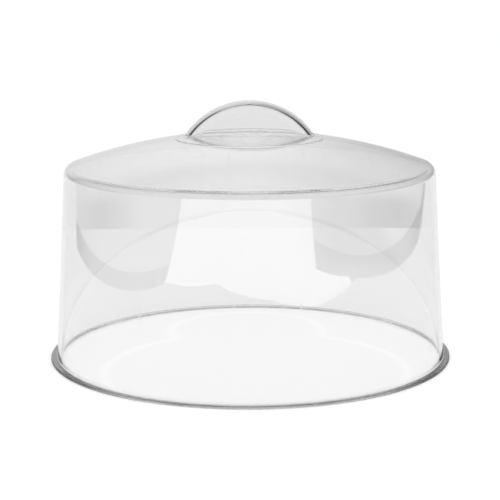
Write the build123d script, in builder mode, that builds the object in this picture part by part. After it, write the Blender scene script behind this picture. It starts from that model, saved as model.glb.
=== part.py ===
from build123d import *
import math
import os

# A clear moulded cake cover: a low round dome, open below, with a hollow half-moon grip on its crown.
# Millimetres.  The dome stands on its lip at z = 0, and its axis is Z.  The grip's length lies along X.

# Driving dimensions of the dome shell
lip_radius = 155.0
lip_width = 4.5
lip_thickness = 2.0
lip_edge_round = 0.9
lip_root_round = 1.6
foot_round = 3.0
wall_thickness = 3.0
wall_taper = 3.5
crown_height = 172.4
crown_sphere_radius = 417.0
shoulder_round = 6.5

# Driving dimensions of the handle
overall_height = 197.4
grip_arc_radius = 59.0
grip_rim_round = 12.1
grip_flank_taper = 11.6
grip_wall = 3.8
grip_root_round = 2.4
flange_radius = 57.0
flange_thickness = 0.6
flange_edge_round = 0.45

# Places worked out from them
wall_foot_radius = lip_radius - lip_width
wall_inner_radius = wall_foot_radius - wall_thickness
crown_centre = crown_height - crown_sphere_radius
flange_base_height = crown_centre + math.sqrt(crown_sphere_radius**2 - flange_radius**2)
grip_axis_height = overall_height - grip_arc_radius
grip_axis = Axis((0, 0, grip_axis_height), (0, -1, 0))
grip_start = Plane(grip_axis.position, x_dir=(0, 1, 0), z_dir=(0, 0, -1))


def dome_profile(inset, corner_round):
    """Half section of the dome as a filled shape, its face set in from the outer one by inset."""
    lean = math.radians(wall_taper)
    foot = wall_foot_radius - inset / math.cos(lean)
    top = foot - crown_height * math.tan(lean)
    with BuildSketch() as profile:
        with BuildLine():
            Polyline((0, 0), (foot, 0), (top, crown_height), (0, crown_height), close=True)
        make_face()
        with Locations((0, crown_centre)):
            Circle(crown_sphere_radius - inset, mode=Mode.INTERSECT)
        shoulder = profile.vertices().sort_by(Axis.X)[-2]
        fillet(shoulder, corner_round)
    return profile.sketch


def grip_profile(inset):
    """Section of the grip from its arc's centre out to its rim, its face set in by inset."""
    lean = math.radians(grip_flank_taper)
    rim = grip_rim_round - inset
    rim_centre = grip_arc_radius - grip_rim_round
    touch = (rim * math.cos(lean), rim_centre + rim * math.sin(lean))
    foot = (touch[0] + touch[1] * math.tan(lean), 0)
    with BuildSketch() as profile:
        with BuildLine():
            Polyline((-touch[0], touch[1]), (-foot[0], 0), foot, touch)
            ThreePointArc(touch, (0, rim_centre + rim), (-touch[0], touch[1]))
        make_face()
    return profile.sketch


def crown_profile(raised, reach):
    """Half section of all that lies under the crown's sphere, raised by an amount, out to a reach."""
    with BuildSketch() as profile:
        with Locations((0, crown_centre)):
            Circle(crown_sphere_radius + raised)
        with Locations((reach / 2, grip_axis_height)):
            Rectangle(reach, crown_height, mode=Mode.INTERSECT)
    return profile.sketch


# One moulding: crown, tapered wall and, turned out from it on a round foot, the lip that it stands on
with BuildPart() as dome_shell:
    with BuildSketch(Plane.XZ) as shell_section:
        add(dome_profile(0, shoulder_round))
        with Locations(((wall_inner_radius + lip_radius) / 2, lip_thickness / 2)):
            Rectangle(lip_radius - wall_inner_radius, lip_thickness)
        add(dome_profile(wall_thickness, shoulder_round - wall_thickness), mode=Mode.SUBTRACT)
        lip_top = shell_section.vertices().group_by(Axis.Y)[1]
        fillet(lip_top.sort_by(Axis.X)[0], lip_root_round)
        lip_edge = shell_section.vertices().group_by(Axis.X)[-1]
        fillet(lip_edge, lip_edge_round)
        inner_foot = shell_section.vertices().group_by(Axis.Y)[0].sort_by(Axis.X)[0]
        fillet(inner_foot, foot_round)
    revolve(axis=Axis.Z)
dome_shell.part.label = "dome_shell"

# The handle: a hollow half-moon grip with a thin round flange that is bonded to the crown
with BuildPart() as handle:
    with BuildSketch(Plane.XZ):
        add(crown_profile(flange_thickness, flange_radius))
    revolve(axis=Axis.Z)
    with BuildSketch(grip_start):
        add(grip_profile(0))
    revolve(axis=grip_axis, revolution_arc=180)
    curved_edges = handle.edges().filter_by(GeomType.BSPLINE)
    fillet(curved_edges.filter_by_position(Axis.Z, flange_base_height, overall_height), grip_root_round)
    with BuildSketch(grip_start):
        add(grip_profile(grip_wall))
    revolve(axis=grip_axis, revolution_arc=180, mode=Mode.SUBTRACT)
    with BuildSketch(Plane.XZ):
        add(crown_profile(0, lip_radius))
    revolve(axis=Axis.Z, mode=Mode.SUBTRACT)
    flange_edges = handle.edges().filter_by(GeomType.CIRCLE).sort_by(Edge.length)[-2:]
    fillet(flange_edges.sort_by(Axis.Z)[-1], flange_edge_round)
handle.part.label = "handle"

os.makedirs("parts", exist_ok=True)
export_step(dome_shell.part, "parts/dome_shell.step")
export_step(handle.part, "parts/handle.step")
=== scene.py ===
import math

import bpy
import numpy as np
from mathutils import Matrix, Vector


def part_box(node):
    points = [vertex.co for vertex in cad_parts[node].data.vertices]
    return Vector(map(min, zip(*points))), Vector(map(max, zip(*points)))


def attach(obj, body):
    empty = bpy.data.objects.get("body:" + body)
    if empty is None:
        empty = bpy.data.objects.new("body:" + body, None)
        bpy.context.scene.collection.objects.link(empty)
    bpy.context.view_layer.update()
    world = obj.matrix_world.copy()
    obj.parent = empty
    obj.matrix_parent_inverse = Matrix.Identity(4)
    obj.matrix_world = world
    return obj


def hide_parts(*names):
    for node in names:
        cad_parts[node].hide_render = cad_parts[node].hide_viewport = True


# A clear moulded cake cover dome: the shell in one moulding, and the half-moon handle bonded to its crown.
# Metres, in the frame of the CAD model.  The dome stands at z = 0 on its lip, and the grip runs along X.
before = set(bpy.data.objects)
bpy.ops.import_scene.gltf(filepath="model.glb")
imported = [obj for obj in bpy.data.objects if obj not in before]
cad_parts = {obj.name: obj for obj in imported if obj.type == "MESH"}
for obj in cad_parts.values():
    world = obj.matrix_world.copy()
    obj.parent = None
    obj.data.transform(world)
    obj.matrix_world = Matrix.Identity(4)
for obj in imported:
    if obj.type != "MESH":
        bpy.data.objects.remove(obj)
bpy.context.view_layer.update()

MM = 0.001
UP = np.array([0, 0, 1])

# Sizes that the CAD model gives
_, shell_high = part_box("dome_shell")
_, handle_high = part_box("handle")
lip_radius = shell_high.x
crown_height = shell_high.z
overall_height = handle_high.z
flange_radius = handle_high.x

# Sizes that repeat the CAD model's own
lip_width = 4.5 * MM
lip_thickness = 2.0 * MM
lip_edge_round = 0.9 * MM
lip_root_round = 1.6 * MM
foot_round = 3.0 * MM
wall_thickness = 3.0 * MM
wall_lean = math.radians(3.5)
crown_sphere = 417 * MM
shoulder_round = 6.5 * MM
grip_arc_radius = 59 * MM
grip_rim_round = 12.1 * MM
grip_lean = math.radians(11.6)
grip_wall = 3.8 * MM
grip_root_round = 2.4 * MM
flange_thickness = 0.6 * MM
flange_edge_round = 0.45 * MM

# The gate's witness mark on the grip
gate_reach = 1.9 * MM
gate_depth = 0.25 * MM

# Places worked out from them
wall_foot = lip_radius - lip_width
crown_centre = crown_height - crown_sphere
crown_centre_point = np.array([0, 0, crown_centre])
grip_axis_height = overall_height - grip_arc_radius
grip_top = np.array([0, 0, overall_height])
rim_centre = grip_arc_radius - grip_rim_round
flange_sphere = crown_sphere + flange_thickness

# How finely the shell's section is divided
crown_steps = 44
shoulder_steps = 24
wall_steps = 24
lip_root_steps = 8
lip_top_steps = 3
lip_edge_steps = 7
lip_side_steps = 1
lip_foot_steps = 5
foot_round_steps = 14

# How finely the handle and the crown under it are divided
footprint_steps = 96
grip_steps = 34
grip_root_steps = 14
flange_steps = 10
flange_edge_steps = 8
hollow_steps = 30
bare_crown_steps = 14

# Support rows keep the face beside a round flat.  They lie this far from the round: a length on the wall and
# lip, but no more than a share of a short face, a length on the crown, and a share of the way on the handle.
line_hold = 0.1 * MM
longest_line_share = 0.2
crown_hold = 0.15 * MM
row_hold = 0.006

# Points that are the same to this many decimals of a metre are one
place_decimals = 8


# ---------------------------------------------------------------- mesh helpers

def mesh_piece(name, vertices, faces, face_slots, materials, crease=40):
    """A shaded mesh object, with edges that turn by more than crease degrees kept sharp."""
    mesh = bpy.data.meshes.new(name)
    mesh.from_pydata([tuple(v) for v in vertices], [], [tuple(int(i) for i in f) for f in faces])
    for material in materials:
        mesh.materials.append(material)
    mesh.polygons.foreach_set("material_index", np.asarray(face_slots, np.int32))
    mesh.polygons.foreach_set("use_smooth", np.ones(len(mesh.polygons), bool))
    mesh.set_sharp_from_angle(angle=math.radians(crease))
    mesh.validate()
    mesh.update()
    piece = bpy.data.objects.new(name, mesh)
    bpy.context.scene.collection.objects.link(piece)
    return piece


def arc(centre, radius, start, end, steps):
    """Points of an arc in the section plane (r, z), angles in radians from the r axis, both ends included."""
    turn = np.linspace(start, end, steps + 1)
    return np.stack([centre[0] + radius * np.cos(turn), centre[1] + radius * np.sin(turn)], 1)


def held(steps, start_hold=0.0, end_hold=0.0):
    """Shares from 0 to 1 in even steps, with one more close to an end that a round meets, so that the face
    beside the round is shaded flat."""
    share = np.linspace(0, 1, steps + 1)
    extra = [hold for hold in (start_hold, 1 - end_hold) if 0 < hold < 1]
    return np.unique(np.concatenate([share, extra]))


def line(start, end, steps):
    """Points between two section points, both ends included, held flat close to each end."""
    start, end = np.asarray(start), np.asarray(end)
    hold = min(line_hold / np.linalg.norm(end - start), longest_line_share)
    share = held(steps, hold, hold)[:, None]
    return (1 - share) * start + share * end


def joined(*stretches):
    """One run of section points, with the shared end of each stretch kept once."""
    kept = [stretches[0]]
    for stretch in stretches[1:]:
        kept.append(stretch[1:])
    return np.concatenate(kept)


def turned(section, angles):
    """Rows of points that carry each point of a section (r, z) round Z to the given angles."""
    around = np.stack([np.cos(angles), np.sin(angles)], 1)
    plan = section[:, None, :1] * around
    height = np.repeat(section[:, 1], len(angles)).reshape(len(section), -1, 1)
    return np.concatenate([plan, height], 2)


def closed_body(stretches):
    """Vertices, faces and material slots of a body from its stretches of rows, each with a slot.  Every row
    runs once round the body.  Points at one place are joined, and faces that fall flat there are dropped."""
    grid = np.concatenate([rows for rows, _ in stretches])
    row_slots = np.concatenate([np.full(len(rows), slot) for rows, slot in stretches])
    columns = grid.shape[1]
    places = np.round(grid.reshape(-1, 3), place_decimals)
    _, first, index = np.unique(places, axis=0, return_index=True, return_inverse=True)
    index = index.reshape(grid.shape[:2])
    faces, slots = [], []
    for row in range(len(grid) - 1):
        for column in range(columns):
            beside = (column + 1) % columns
            corners = (index[row, column], index[row + 1, column], index[row + 1, beside], index[row, beside])
            face = list(dict.fromkeys(corners))
            if len(face) > 2:
                faces.append(face)
                slots.append(row_slots[row + 1])
    return grid.reshape(-1, 3)[first], faces, slots


# ---------------------------------------------------------------- the dome shell

def shoulder_centre():
    """Centre of the shoulder's round, which the outer and inner faces share."""
    wall_at_foot = wall_foot - shoulder_round / math.cos(wall_lean)
    slope = math.tan(wall_lean)
    reach = crown_sphere - shoulder_round
    a = 1 + slope ** 2
    b = -2 * (wall_at_foot * slope + crown_centre)
    c = wall_at_foot ** 2 + crown_centre ** 2 - reach ** 2
    height = (-b + math.sqrt(b * b - 4 * a * c)) / (2 * a)
    return (wall_at_foot - slope * height, height)


def shell_face(inset, wall_end):
    """Points of one face of the shell, from the pole over the shoulder and down the wall to wall_end."""
    centre = shoulder_centre()
    sphere = crown_sphere - inset
    to_shoulder = math.atan2(centre[1] - crown_centre, centre[0])
    crown = arc((0, crown_centre), sphere, math.pi / 2, to_shoulder, crown_steps)
    support = arc((0, crown_centre), sphere, to_shoulder + crown_hold / sphere, to_shoulder, 1)
    shoulder = arc(centre, shoulder_round - inset, to_shoulder, wall_lean, shoulder_steps)
    return joined(np.concatenate([crown[:-1], support]), shoulder, line(shoulder[-1], wall_end, wall_steps))


def shell_section():
    """Closed half section of the shell, from the outer pole round the lip to the inner pole."""
    slope = math.tan(wall_lean)
    root_height = lip_thickness + lip_root_round
    root = (wall_foot - slope * root_height + lip_root_round / math.cos(wall_lean), root_height)
    root_round = arc(root, lip_root_round, math.pi + wall_lean, 1.5 * math.pi, lip_root_steps)
    edge_radius = lip_radius - lip_edge_round
    upper_edge = (edge_radius, lip_thickness - lip_edge_round)
    lower_edge = (edge_radius, lip_edge_round)
    edge_top = arc(upper_edge, lip_edge_round, math.pi / 2, 0, lip_edge_steps)
    edge_foot = arc(lower_edge, lip_edge_round, 0, -math.pi / 2, lip_edge_steps)
    inner_line = wall_foot - wall_thickness / math.cos(wall_lean)
    foot = (inner_line - slope * foot_round + foot_round / math.cos(wall_lean), foot_round)
    foot_arc = arc(foot, foot_round, 1.5 * math.pi, math.pi + wall_lean, foot_round_steps)
    outer = shell_face(0, root_round[0])
    inner = shell_face(wall_thickness, foot_arc[-1])
    return joined(
        outer,
        root_round,
        line(root_round[-1], edge_top[0], lip_top_steps),
        edge_top,
        line(edge_top[-1], edge_foot[0], lip_side_steps),
        edge_foot,
        line(edge_foot[-1], foot_arc[0], lip_foot_steps),
        foot_arc,
        inner[::-1],
    )


# ---------------------------------------------------------------- the handle

def grip_point(across, along, lift):
    """Point and normal of the grip's face.  across is the length down from the ridge, along the angle round
    the grip's axis, and lift the distance out from the face."""
    touch_turn = math.pi / 2 - grip_lean
    turn = np.minimum(across / grip_rim_round, touch_turn)
    flank = np.maximum(across - grip_rim_round * touch_turn, 0)
    out_y, out_rho = np.sin(turn), np.cos(turn)
    y = (grip_rim_round + lift) * out_y + flank * out_rho
    rho = rim_centre + (grip_rim_round + lift) * out_rho - flank * out_y
    point = np.stack([rho * np.cos(along), y, grip_axis_height + rho * np.sin(along)], -1)
    normal = np.stack([out_rho * np.cos(along), out_y, out_rho * np.sin(along)], -1)
    return point, normal


def root_between(misses, low, high, halvings=60):
    """Where each of the misses, which are above zero at low and below it at high, passes through zero."""
    for _ in range(halvings):
        middle = (low + high) / 2
        above = misses(middle) > 0
        low, high = np.where(above, middle, low), np.where(above, high, middle)
    return (low + high) / 2


def footprint(lift, sphere):
    """Where the grip's face, moved out by lift, meets a sphere about the crown's centre: across and along
    for a quarter of the outline, from the tip of the grip to its middle."""
    def height(across, along):
        point, _ = grip_point(across, along, lift)
        return np.linalg.norm(point - crown_centre_point, axis=-1) - sphere

    past_flank = 50 * MM
    tip = root_between(lambda along: -height(np.zeros(1), along), np.zeros(1), np.full(1, math.pi / 2))
    share = np.linspace(0, 1, footprint_steps + 1)
    along = tip + (math.pi / 2 - tip) * (1 - np.cos(share * math.pi / 2))
    across = root_between(lambda s: height(s, along), np.zeros(len(along)),
                          np.full(len(along), past_flank))
    across[0] = 0
    return across, along


def ridge_line(tip_angle):
    """Angles along the ridge where the columns of a quarter end, from near the tip to the middle."""
    past_tip = math.radians(9)
    crowding = 0.9
    share = np.linspace(0, 1, footprint_steps + 1)
    first = tip_angle + past_tip
    return first + (math.pi / 2 - first) * (1 - np.cos(share * math.pi / 2)) ** crowding


def grip_rows(lift, across, along, rows):
    """Rows of points over one quarter of the grip's face, from the ridge out to the given outline."""
    ends = ridge_line(along[0])
    share = held(rows, 0, row_hold)[:, None]
    return grip_point(share * across, ends + share * (along - ends), lift)[0]


def on_sphere(plan, sphere):
    """Points of the plan lifted on to a sphere about the crown's centre."""
    height = crown_centre + np.sqrt(sphere ** 2 - (plan ** 2).sum(-1))
    return np.concatenate([plan, height[..., None]], -1)


def flange_angles(outline):
    """Angle round Z at the flange's edge for each point of a footprint quarter."""
    half_length, half_width = outline[0, 0], outline[-1, 1]
    return np.arctan2(outline[:, 1] / half_width, outline[:, 0] / half_length)


def round_rows(centre, start, end, radius, rows):
    """Rows on a rolling-ball round about each centre, from one contact direction to the other."""
    cosine = np.clip((start * end).sum(-1), -1, 1)
    swing = np.arccos(cosine)[None, :, None]
    share = np.linspace(0, 1, rows + 1)[:, None, None]
    direction = (np.sin((1 - share) * swing) * start + np.sin(share * swing) * end) / np.sin(swing)
    return centre + radius * direction


def gate_mark(points):
    """Points of the grip with those round its highest place let in, where the moulding's gate was cut off."""
    away = np.linalg.norm(points - grip_top, axis=-1)
    depth = gate_depth * np.exp(-(away / gate_reach) ** 4)
    return points - depth[..., None] * UP


def handle_quarter():
    """All rows of a quarter of the handle, from the grip's ridge down, round the flange and up the hollow."""
    across, along = footprint(grip_root_round, flange_sphere + grip_root_round)
    outer = gate_mark(grip_rows(0, across, along, grip_steps))

    ball, away = grip_point(across, along, grip_root_round)
    up = ball - crown_centre_point
    up /= np.linalg.norm(up, axis=-1, keepdims=True)
    root_rows = round_rows(ball, -away, -up, grip_root_round, grip_root_steps)

    outline = root_rows[-1][:, :2]
    turn = flange_angles(outline)
    rim = np.stack([np.cos(turn), np.sin(turn)], -1)
    share = held(flange_steps, row_hold, row_hold)[:, None, None]
    edge_radius = flange_radius - flange_edge_round
    edge_sphere = flange_sphere - flange_edge_round
    lean = math.asin(edge_radius / edge_sphere)
    plan = (1 - share) * outline + share * rim * edge_radius * flange_sphere / edge_sphere
    flange_top = on_sphere(plan, flange_sphere)

    edge_centre = on_sphere(rim * edge_radius, edge_sphere)
    bend = np.linspace(math.pi / 2 - lean, 0, flange_edge_steps + 1)[:, None, None]
    rim_out = np.concatenate([rim, np.zeros((len(rim), 1))], -1)
    edge = edge_centre + flange_edge_round * (np.cos(bend) * rim_out + np.sin(bend) * UP)

    hollow_across, hollow_along = footprint(-grip_wall, crown_sphere)
    hollow = grip_rows(-grip_wall, hollow_across, hollow_along, hollow_steps)
    opening = hollow[-1][:, :2]
    under = on_sphere((1 - share) * rim * flange_radius + share * opening, crown_sphere)
    side = on_sphere(rim * flange_radius, crown_sphere)
    return [outer, root_rows[1:], flange_top[1:], np.concatenate([edge[1:], side[None]]), under,
            hollow[::-1][1:]]


def whole_round(quarter):
    """A quarter's rows of points carried round all four quarters, as closed rows."""
    flip_x, flip_y = np.array([-1, 1, 1]), np.array([1, -1, 1])
    second = quarter[:, ::-1][:, 1:] * flip_x
    half = np.concatenate([quarter, second], 1)
    other = half[:, ::-1][:, 1:-1] * flip_y
    return np.concatenate([half, other], 1)


# Material slots of both pieces: the clear plastic, and the face that is bonded
clear, bonded = 0, 1


def handle_stretches():
    """Rows of the whole handle, from the grip's ridge down, round the flange and up the hollow."""
    outer, root_rows, flange_top, edge, under, hollow = handle_quarter()
    return [
        (whole_round(outer), clear),
        (whole_round(root_rows), clear),
        (whole_round(flange_top), clear),
        (whole_round(edge), clear),
        (whole_round(under[1:]), bonded),
        (whole_round(hollow), clear),
    ]


def shell_stretches():
    """Rows of the shell: the crown in the grip's hollow, the bonded ring, then all the rest by turning."""
    spine_share = 0.84
    past_flange = flange_radius + 0.5 * MM
    under = handle_quarter()[4]
    opening, ring = under[-1], under[0]
    spine = opening[:, :2] * np.array([spine_share, 0])
    share = np.linspace(0, 1, bare_crown_steps + 1)[:, None, None]
    inside = on_sphere((1 - share) * spine + share * opening[:, :2], crown_sphere)
    whole_turn = np.arctan2(*whole_round(ring[None])[0, :, 1::-1].T)
    section = shell_section()
    start = np.searchsorted(section[: len(section) // 2, 0], past_flange)
    return [
        (whole_round(inside), clear),
        (whole_round(under[::-1][1:]), bonded),
        (turned(section[start:], whole_turn), clear),
    ]


# ---------------------------------------------------------------- node helpers

def feed(tree, socket, value):
    """Sets a socket to a value, or links it to the output that gives the value."""
    if isinstance(value, bpy.types.NodeSocket):
        tree.links.new(value, socket)
    else:
        socket.default_value = value


def maths(tree, operation, first, second=0.0):
    """The result of one operation on one or two numbers."""
    made = tree.nodes.new("ShaderNodeMath")
    made.operation = operation
    feed(tree, made.inputs[0], first)
    feed(tree, made.inputs[1], second)
    return made.outputs[0]


def gathered(tree, operation, numbers):
    """The result of one operation carried through several numbers."""
    total = numbers[0]
    for number in numbers[1:]:
        total = maths(tree, operation, total, number)
    return total


def vector_maths(tree, operation, first, second=(0, 0, 0)):
    """The result of one operation on vectors: a number for a length or a distance, and else a vector."""
    made = tree.nodes.new("ShaderNodeVectorMath")
    made.operation = operation
    feed(tree, made.inputs[0], first)
    feed(tree, made.inputs[1], second)
    return made.outputs["Value" if operation in ("LENGTH", "DISTANCE") else "Vector"]


def follow(tree, value, start, end, at_start=0.0, at_end=1.0, ease="LINEAR"):
    """A number that goes from at_start to at_end while the value goes from start to end, and holds beyond."""
    made = tree.nodes.new("ShaderNodeMapRange")
    made.interpolation_type = ease
    made.inputs["From Min"].default_value = start
    made.inputs["From Max"].default_value = end
    made.inputs["To Min"].default_value = at_start
    made.inputs["To Max"].default_value = at_end
    tree.links.new(value, made.inputs["Value"])
    return made.outputs["Result"]


def noise(tree, place, scale, detail):
    """A cloud of numbers about a half."""
    made = tree.nodes.new("ShaderNodeTexNoise")
    made.inputs["Scale"].default_value = scale
    made.inputs["Detail"].default_value = detail
    tree.links.new(place, made.inputs["Vector"])
    return made.outputs["Fac"]


def axes(tree, vector):
    """The X, Y and Z of a vector."""
    made = tree.nodes.new("ShaderNodeSeparateXYZ")
    tree.links.new(vector, made.inputs[0])
    return made.outputs


def place_on_piece(tree):
    """The place on the piece in metres, which is the same as the place in the frame."""
    return tree.nodes.new("ShaderNodeTexCoord").outputs["Object"]


def by_ray(tree, depth, if_not, if_so):
    """The second shader for rays that have bounced at least once in the way that the named depth counts, and
    the first for all others."""
    path = tree.nodes.new("ShaderNodeLightPath")
    bounced = maths(tree, "GREATER_THAN", path.outputs[depth], 0.5)
    choice = tree.nodes.new("ShaderNodeMixShader")
    for socket, source in zip(choice.inputs, (bounced, if_not, if_so)):
        tree.links.new(source, socket)
    return choice.outputs[0]


def new_material(name):
    """A new material and its one shader."""
    material = bpy.data.materials.new(name)
    material.use_nodes = True
    return material, material.node_tree.nodes["Principled BSDF"]


# ---------------------------------------------------------------- materials

# The plastic's look: its greys, the heights between which the wall's grey turns into the crown's painted
# light, and the share of the grey that the lip keeps as painted shade, a short way out from the wall
plastic_index = 1.57
wall_grey = 0.89
# The crown's grey and the heights where it takes over are painted light: the crown drawn clearer than the
# wall.
crown_painted_light_grey = 0.96
handle_grey = 0.925
crown_painted_light_start = 148 * MM
crown_painted_light_end = 162 * MM
# The lip's share of the grey is painted shade: the lip drawn deeper a short way out from the wall.
lip_painted_shade_share = 0.5
lip_painted_shade_reach = 1 * MM

# The plastic's surface: slow waves from the moulding, a haze that follows them, and two lays of hairlines,
# each with its turn and its stretch
wave_scale = 38.0
wave_detail = 2.0
wave_height = 0.012 * MM
haze_start = 0.55
haze_full = 0.85
haze_roughness = 0.02
hairline_lays = (((0.4, 0.3, 0.5), (900, 14, 14)), ((0.4, 0.3, -0.8), (12, 760, 12)))
hairline_start = 0.74
hairline_full = 0.80
hairline_roughness = 0.10


def hairlines(tree, place, turn, stretch):
    """Roughness of one lay of fine scratches, which run one way."""
    lay = tree.nodes.new("ShaderNodeMapping")
    lay.inputs["Rotation"].default_value = turn
    lay.inputs["Scale"].default_value = stretch
    tree.links.new(place, lay.inputs["Vector"])
    wear = noise(tree, lay.outputs["Vector"], scale=1.0, detail=0.0)
    return follow(tree, wear, hairline_start, hairline_full, 0.0, hairline_roughness)


def clear_plastic(name, grey):
    """Clear styrene plastic, polished as moulded, with a faint flow waviness and hairline wear."""
    material, shader = new_material(name)
    shader.inputs["Base Color"].default_value = (grey, grey, grey, 1)
    shader.inputs["Transmission Weight"].default_value = 1.0
    shader.inputs["IOR"].default_value = plastic_index
    tree = material.node_tree
    place = place_on_piece(tree)

    flow = noise(tree, place, wave_scale, wave_detail)
    waves = tree.nodes.new("ShaderNodeBump")
    waves.inputs["Strength"].default_value = 1.0
    waves.inputs["Distance"].default_value = wave_height
    tree.links.new(flow, waves.inputs["Height"])
    tree.links.new(waves.outputs["Normal"], shader.inputs["Normal"])

    wear = [follow(tree, flow, haze_start, haze_full, 0.0, haze_roughness)]
    wear += [hairlines(tree, place, turn, stretch) for turn, stretch in hairline_lays]
    tree.links.new(gathered(tree, "MAXIMUM", wear), shader.inputs["Roughness"])
    return material


def paint_shell_light_and_shade(material):
    """Greys of the shell, with painted light and shade.  The crown is drawn clearer than the wall, as painted
    light.
    The lip is looked at along its length, so it is drawn deeper, as painted shade."""
    tree = material.node_tree
    place = place_on_piece(tree)
    # Painted light: the crown clearer by height.  Painted shade: the lip deeper by its reach from the axis.
    painted_light_by_height = follow(tree, axes(tree, place)["Z"], crown_painted_light_start, crown_painted_light_end, wall_grey, crown_painted_light_grey)
    from_axis = vector_maths(tree, "LENGTH", vector_maths(tree, "MULTIPLY", place, (1, 1, 0)))
    painted_shade_by_reach = follow(tree, from_axis, wall_foot, wall_foot + lip_painted_shade_reach, 1.0, lip_painted_shade_share)
    grey = maths(tree, "MULTIPLY", painted_light_by_height, painted_shade_by_reach)
    tree.links.new(grey, tree.nodes["Principled BSDF"].inputs["Base Color"])


def bond_film(name):
    """The cemented face: the plastic runs through it with no optical edge."""
    material, shader = new_material(name)
    shader.inputs["Alpha"].default_value = 0.0
    return material


shell_plastic = clear_plastic("clear_shell_plastic", wall_grey)
# The shell's plastic gets painted light on the crown and painted shade on the lip.
paint_shell_light_and_shade(shell_plastic)
handle_plastic = clear_plastic("clear_handle_plastic", handle_grey)

# ---------------------------------------------------------------- pieces

bond = bond_film("bond_film")
dome = mesh_piece("dome_shell_clear", *closed_body(shell_stretches()), [shell_plastic, bond])
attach(dome, "root")
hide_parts("dome_shell")

handle = mesh_piece("handle_clear", *closed_body(handle_stretches()), [handle_plastic, bond])
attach(handle, "root")
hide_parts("handle")

# ---------------------------------------------------------------- floor

table_left = -0.67
table_right = 0.78
table_back = 0.547
table_outline = [(table_left, -0.66), (-0.32, -1.0), (0.17, -0.84), (0.42, -0.60), (table_right, -0.45),
                 (table_right, table_back), (table_left, table_back)]
floor_gap = 0.2 * MM
floor_roughness = 0.9
floor_gloss = 0.1

# Greys of the floor outside and under the cover, where painted light makes it whiter.  The patch of painted
# shade behind the right side loses a share of its grey, and fades in along each axis from a start to its full
# loss.
open_floor_grey = 0.9
# Under the cover the floor is whiter with painted light.
covered_floor_painted_light_grey = 0.955
cover_edge = 3 * MM
# The patch's loss of grey is painted shade.
painted_shade_loss = 0.10
painted_shade_falls = (("X", 0.05, 0.10), ("X", 0.175, 0.15), ("Y", 0.27, 0.40))

# The figure of painted light: rounds that run together (x, y, radius), and the breadth and gain of their
# outline
painted_light_rounds = ((0.004, -0.050, 0.113), (-0.003, 0.072, 0.063))
painted_light_breadth = 6 * MM
painted_light_gain = 1.045


def flat_piece(name, corners, faces, material):
    """A flat object of the studio, which is no part of the dome."""
    mesh = bpy.data.meshes.new(name)
    mesh.from_pydata(corners, [], faces)
    mesh.materials.append(material)
    made = bpy.data.objects.new(name, mesh)
    bpy.context.scene.collection.objects.link(made)
    return made


def painted_light_under_cover(tree, place):
    """Grey of the floor, with painted light that makes it a little whiter under the cover, which makes up for
    the light that the plastic keeps out."""
    from_middle = vector_maths(tree, "LENGTH", place)
    return follow(tree, from_middle, wall_foot - cover_edge, wall_foot, covered_floor_painted_light_grey, open_floor_grey)


def painted_shade_patch(tree, place):
    """Share of the floor's grey that is kept: painted shade makes it fall off a little behind the dome's
    right side.
    """
    parts = axes(tree, place)
    amounts = [follow(tree, parts[axis], start, full, ease="SMOOTHSTEP") for axis, start, full in painted_shade_falls]
    return follow(tree, gathered(tree, "MULTIPLY", amounts), 0.0, 1.0, 1.0, 1.0 - painted_shade_loss)


def painted_light_figure(tree, place):
    """Gain along the soft bright line of painted light that stands in for the line the dome's light draws."""
    edges = []
    for x, y, radius in painted_light_rounds:
        from_centre = vector_maths(tree, "DISTANCE", place, (x, y, 0))
        edges.append(maths(tree, "SUBTRACT", from_centre, radius))
    off_line = maths(tree, "ABSOLUTE", gathered(tree, "MINIMUM", edges))
    return follow(tree, off_line, 0.0, painted_light_breadth, painted_light_gain, 1.0, ease="SMOOTHSTEP")


def pale_floor(name):
    """A plain matt floor, with the soft light and shade seen on it painted into its colour."""
    material, shader = new_material(name)
    shader.inputs["Roughness"].default_value = floor_roughness
    shader.inputs["Specular IOR Level"].default_value = floor_gloss
    tree = material.node_tree
    place = place_on_piece(tree)
    # Painted light under the cover and along a bright line, and painted shade behind the right side.
    shades = [painted_light_under_cover(tree, place), painted_shade_patch(tree, place), painted_light_figure(tree, place)]
    tree.links.new(gathered(tree, "MULTIPLY", shades), shader.inputs["Base Color"])
    return material


flat_piece("floor", [(x, y, -floor_gap) for x, y in table_outline], [tuple(range(len(table_outline)))],
           pale_floor("pale_floor"))

# ---------------------------------------------------------------- cards that the plastic mirrors

# The cards lie in the floor's plane, just under the table, out to the room's ends
card_drop = 1 * MM
room = 8.0
front_bright = 2.0
side_dark = 0.0
side_grey = 0.65
back_bright = 0.9
left_strip = table_left - 0.18
right_strip = table_right + 0.26

# Corners that the cards share, by the table and far away
front_left, front_left_far = (table_left, -0.62), (-4.63, -5.90)
front_right, front_right_far = (0.70, -0.95), (3.83, -5.40)
right_near = (table_right, -0.545)
back_left, back_left_far = (table_left, 0.34), (-2.9, 2.7)
back_right, back_right_far = (table_right, 0.30), (2.2, 3.1)
left_strip_front, left_strip_back = (left_strip, -0.86), (left_strip, 0.53)
right_strip_front, right_strip_back = (right_strip, -1.43), (right_strip, 0.62)

# The ring of painted shade in the seam under the lip, which the lip mirrors: its radii, how far under the lip
# it lies, how bright it is in the middle of the width and at the back, and where each brightness starts and
# ends
seam_inner = 0.1465
seam_outer = 0.1585
seam_drop = 0.1 * MM
seam_steps = 192
seam_middle_light = 1.3
seam_middle_start = 0.055
seam_middle_end = 0.105
seam_back_light = 1.2
seam_back_start = 0.03
seam_back_end = 0.09


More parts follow.
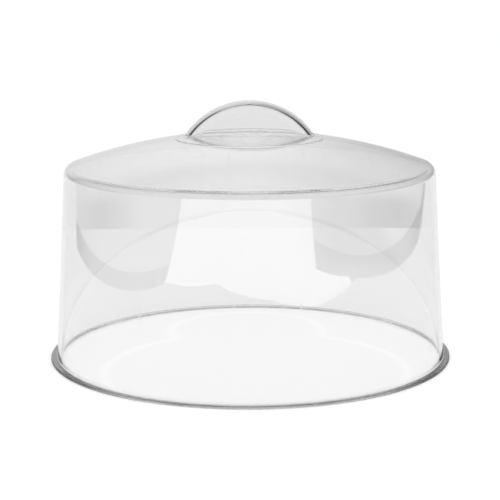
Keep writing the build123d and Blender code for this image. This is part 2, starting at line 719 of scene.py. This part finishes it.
def mirror_card(name, corners, faces, radiance):
    """A studio card that shows only where the plastic mirrors it, and is not in the way of anything else."""
    material, shader = new_material(name)
    tree = material.node_tree
    tree.nodes.remove(shader)
    glow = tree.nodes.new("ShaderNodeEmission")
    glow.inputs["Color"].default_value = (radiance, radiance, radiance, 1)
    see_through = tree.nodes.new("ShaderNodeBsdfTransparent")
    choice = by_ray(tree, "Glossy Depth", see_through.outputs[0], glow.outputs[0])
    tree.links.new(choice, tree.nodes["Material Output"].inputs["Surface"])
    material.cycles.emission_sampling = "NONE"
    card = flat_piece(name, corners, faces, material)
    card.visible_camera = False
    card.visible_diffuse = False
    card.visible_shadow = False
    return card


def ground(name, outline, radiance):
    """A mirror card of one face in the floor's plane."""
    return mirror_card(name, [(x, y, -card_drop) for x, y in outline], [tuple(range(len(outline)))], radiance)


def painted_shade_seam(name):
    """Painted shade in the seam under the lip, seen only where the lip mirrors it: light at the front and
    back, and black at the sides."""
    angles = np.linspace(0, 2 * math.pi, seam_steps + 1)[:-1]
    ring = [(r * math.cos(a), r * math.sin(a), -seam_drop) for a in angles for r in (seam_inner, seam_outer)]
    count = len(ring)
    quads = [(i, i + 1, (i + 3) % count, (i + 2) % count) for i in range(0, count, 2)]
    seam = mirror_card(name, ring, quads, side_dark)
    tree = seam.data.materials[0].node_tree
    parts = axes(tree, place_on_piece(tree))
    aside = maths(tree, "ABSOLUTE", parts["X"])
    middle = follow(tree, aside, seam_middle_start, seam_middle_end, seam_middle_light, 0.0)
    back = follow(tree, parts["Y"], seam_back_start, seam_back_end, 0.0, seam_back_light)
    tree.links.new(maths(tree, "MAXIMUM", middle, back), tree.nodes["Emission"].inputs["Color"])


ground("ground_front", [(0.0, -0.3), front_left, front_left_far, front_right_far, front_right, right_near,
                        (0.6, -0.3)], front_bright)
ground("ground_left", [left_strip_front, front_left_far, (-room, -room), (-room, 2.8), back_left_far,
                       left_strip_back], side_grey)
ground("strip_left", [front_left, left_strip_front, left_strip_back, back_left], side_dark)
ground("ground_right", [right_strip_front, front_right_far, (room, -3.1), (room, 3.1), back_right_far,
                        right_strip_back], side_grey)
ground("strip_right", [right_near, front_right, right_strip_front, right_strip_back, back_right], side_dark)
ground("ground_back", [back_left, back_left_far, (back_left_far[0], room), (back_right_far[0], room),
                       back_right_far, back_right], back_bright)
# Painted shade under the lip, which the lip mirrors.
painted_shade_seam("painted_shade_seam")

# ---------------------------------------------------------------- soft light all round

plain_white = 1.02
floor_light = 1.24
mirror_strength = 1.65
white = (1, 1, 1, 1)

world = bpy.data.worlds.new("studio")
bpy.context.scene.world = world
world.use_nodes = True
sky = world.node_tree


def background(colour, strength):
    """Light from all round, in one colour or a pattern."""
    made = sky.nodes.new("ShaderNodeBackground")
    made.inputs["Strength"].default_value = strength
    feed(sky, made.inputs["Color"], colour)
    return made.outputs[0]


def ramp(value, *stops):
    """A grey that follows a value through (value, grey) stops."""
    made = sky.nodes.new("ShaderNodeValToRGB")
    elements = made.color_ramp.elements
    elements.remove(elements[1])
    elements[0].position = stops[0][0]
    for place, _ in stops[1:]:
        elements.new(place)
    for element, (_, grey) in zip(elements, stops):
        element.color = (grey, grey, grey, 1)
    sky.links.new(value, made.inputs["Fac"])
    return made.outputs["Color"]


def blended(blend, first, second, factor=1.0):
    """Two colours blended, each of them fixed or a pattern."""
    made = sky.nodes.new("ShaderNodeMix")
    made.data_type = "RGBA"
    made.blend_type = blend
    feed(sky, made.inputs["Factor"], factor)
    feed(sky, made.inputs["A"], first)
    feed(sky, made.inputs["B"], second)
    return made.outputs["Result"]


def bearing_of(direction):
    """X, Y and Z of a direction's level part, stretched to a length of one."""
    level = vector_maths(sky, "MULTIPLY", direction, (1, 1, 0))
    return axes(sky, vector_maths(sky, "NORMALIZE", level))


def mirrored_sky(direction):
    """What the plastic mirrors: light from behind the dome, dimmer to the right and in a band part of the way
    up, and close to black at the sides, in front and overhead."""
    parts = axes(sky, direction)
    by_bearing = ramp(bearing_of(direction)["Y"], (0.0, 0.02), (0.73, 0.02), (0.92, 1.0), (1.0, 1.0))
    sideways = ramp(follow(sky, parts["X"], -0.5, 0.5), (0.0, 0.66), (0.25, 0.70), (0.42, 0.71), (0.5, 0.73),
                    (0.57, 0.64), (0.63, 0.53), (0.69, 0.48), (0.8, 0.48), (1.0, 0.42))
    upwards = ramp(parts["Z"], (0.0, 0.63), (0.15, 0.65), (0.42, 0.68), (0.50, 0.64), (0.56, 0.50),
                   (0.60, 0.49), (0.64, 0.54), (0.70, 0.66), (0.74, 0.62), (0.77, 0.58), (0.82, 0.14),
                   (1.0, 0.16))
    return blended("MULTIPLY", blended("MULTIPLY", by_bearing, sideways), upwards)


def backdrop_with_painted_shade(direction):
    """The backdrop as the wall shows it, with painted shade: darker towards the right and at the far left.
    Above the wall, where the crown shows it, the backdrop stays white."""
    parts = axes(sky, direction)
    shade = ramp(follow(sky, parts["X"], -0.25, 0.25), (0.10, 1.0), (0.20, 0.84), (0.25, 0.82), (0.285, 0.87),
                 (0.305, 0.93), (0.335, 1.0), (0.55, 1.0), (0.59, 0.96), (0.625, 0.90), (0.655, 0.88),
                 (0.695, 0.80), (0.75, 0.76), (0.82, 0.80), (0.90, 1.0))
    through_wall = follow(sky, parts["Z"], -0.152, -0.160)
    return blended("MIX", white, shade, through_wall)


view_direction = sky.nodes.new("ShaderNodeTexCoord").outputs["Generated"]
# Through the plastic the backdrop carries painted shade.
seen = by_ray(sky, "Transmission Depth", background(white, plain_white),
              background(backdrop_with_painted_shade(view_direction), plain_white))
shown = by_ray(sky, "Glossy Depth", seen, background(mirrored_sky(view_direction), mirror_strength))
lit = by_ray(sky, "Diffuse Depth", shown, background(white, floor_light))
sky.links.new(lit, sky.nodes["World Output"].inputs["Surface"])

# ---------------------------------------------------------------- camera, at the photo's viewing angle

camera_distance = 1.1678
camera_height = 0.3102
camera_dip_degrees = 11.09
camera_swing = -0.004
focal_length = 110.6
film_width = 36

camera_data = bpy.data.cameras.new("camera")
camera_data.lens = focal_length
camera_data.sensor_width = film_width
camera = bpy.data.objects.new("camera", camera_data)
camera.location = (0.0, -camera_distance, camera_height)
camera.rotation_mode = "ZXY"
camera.rotation_euler = (math.radians(90 - camera_dip_degrees), 0, camera_swing)
scene = bpy.context.scene
scene.collection.objects.link(camera)
scene.camera = camera

# Light runs a long way inside the shell, and lower limits leave black lines at its rounds
most_bounces = 512
most_transmissions = 64
scene.view_settings.view_transform = "Standard"
scene.cycles.blur_glossy = 0
scene.cycles.max_bounces = most_bounces
scene.cycles.transmission_bounces = most_transmissions
scene.cycles.glossy_bounces = most_bounces
scene.cycles.transparent_max_bounces = most_bounces
